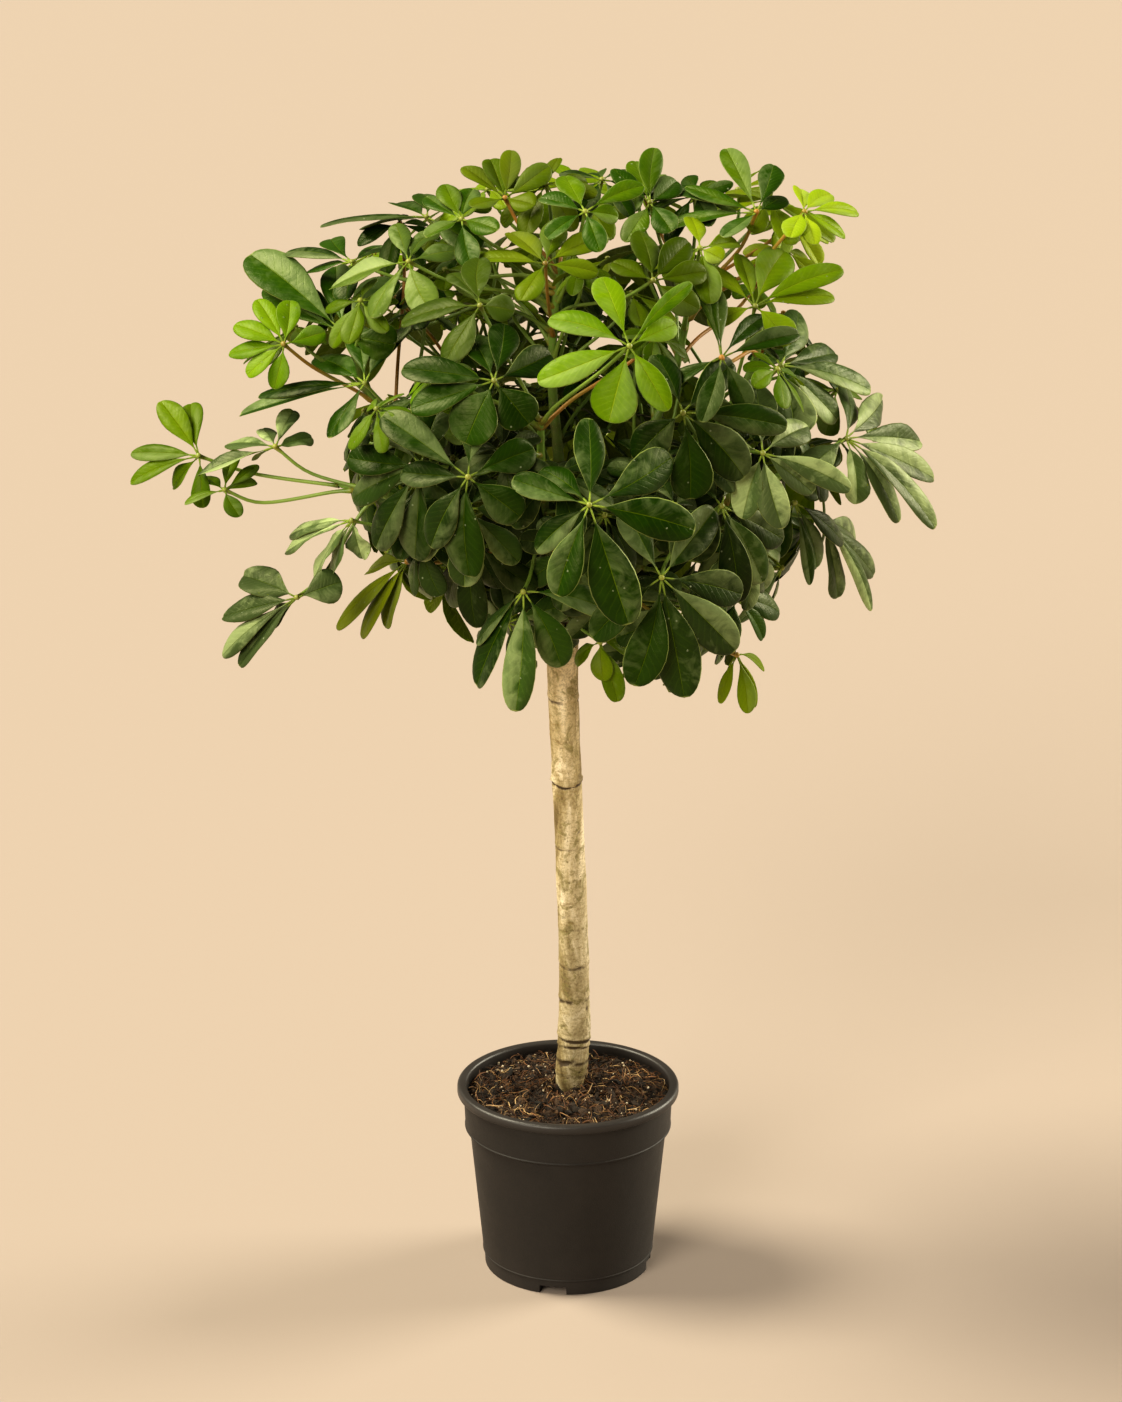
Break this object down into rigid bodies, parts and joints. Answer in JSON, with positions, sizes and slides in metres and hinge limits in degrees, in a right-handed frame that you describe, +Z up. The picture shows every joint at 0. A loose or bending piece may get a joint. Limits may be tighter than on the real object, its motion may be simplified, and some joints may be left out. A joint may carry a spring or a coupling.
{
  "type": "potted umbrella plant",
  "caption": "Umbrella plant grown as a small standard tree: a round crown of wheel-shaped leaves on a bare trunk, in a round nursery pot of potting mix.",
  "frame": {"origin": "middle of the pot's underside, on the surface that it stands on", "axes": "+Z up along the trunk, -Y to the front that the picture shows, +X to the right of that view"},
  "size_m": [0.726, 0.5556, 1.0634],
  "materials": {
    "pot": "charcoal black moulded plastic, fine satin grain, softly glossy lip",
    "soil": "dark brown shredded bark and peat with white perlite specks, rough",
    "bark": "smooth pale olive-cream bark with grey-green blotches and dark leaf scars",
    "green_stem": "smooth green young stem",
    "leaf_dark": "glossy dark green leathery blade with pale midrib",
    "leaf_mid": "satin mid green leathery blade",
    "leaf_young": "bright lime green young blade, satin"
  },
  "bodies": {
    "root": {"pot": "pot", "soil": "soil", "trunk": "bark", "stem_left": "green_stem", "stem_upper_left": "green_stem", "stem_front": "green_stem", "stem_top": "green_stem", "stem_top_right": "green_stem", "stem_upper_right": "green_stem", "stem_right": "green_stem", "stem_back": "green_stem", "stem_back_right": "green_stem", "leaf_front_1": "leaf_dark", "leaf_front_2": "leaf_dark", "leaf_front_3": "leaf_dark", "leaf_front_4": "leaf_dark", "leaf_front_5": "leaf_young", "leaf_front_6": "leaf_dark", "leaf_front_7": "leaf_dark", "leaf_front_8": "leaf_dark", "leaf_front_9": "leaf_dark", "leaf_front_10": "leaf_mid", "leaf_right_1": "leaf_dark", "leaf_right_2": "leaf_dark", "leaf_right_3": "leaf_dark", "leaf_right_4": "leaf_dark", "leaf_right_5": "leaf_dark", "leaf_right_6": "leaf_dark", "leaf_right_7": "leaf_dark", "leaf_right_8": "leaf_dark", "leaf_right_9": "leaf_mid", "leaf_left_1": "leaf_mid", "leaf_left_2": "leaf_mid", "leaf_left_3": "leaf_dark", "leaf_left_4": "leaf_dark", "leaf_left_5": "leaf_dark", "leaf_left_6": "leaf_mid", "leaf_left_7": "leaf_dark", "leaf_left_8": "leaf_young", "leaf_left_9": "leaf_dark", "leaf_left_10": "leaf_mid", "leaf_left_11": "leaf_dark", "leaf_left_12": "leaf_dark", "leaf_top_1": "leaf_dark", "leaf_top_2": "leaf_young", "leaf_top_3": "leaf_dark", "leaf_top_4": "leaf_dark", "leaf_top_5": "leaf_dark", "leaf_top_6": "leaf_young", "leaf_top_7": "leaf_young", "leaf_top_8": "leaf_mid", "leaf_top_9": "leaf_young", "leaf_top_10": "leaf_mid", "leaf_top_11": "leaf_mid", "leaf_back_1": "leaf_dark", "leaf_back_2": "leaf_dark", "leaf_back_3": "leaf_dark", "leaf_back_4": "leaf_dark", "leaf_back_5": "leaf_dark"}
  },
  "joints": []
}
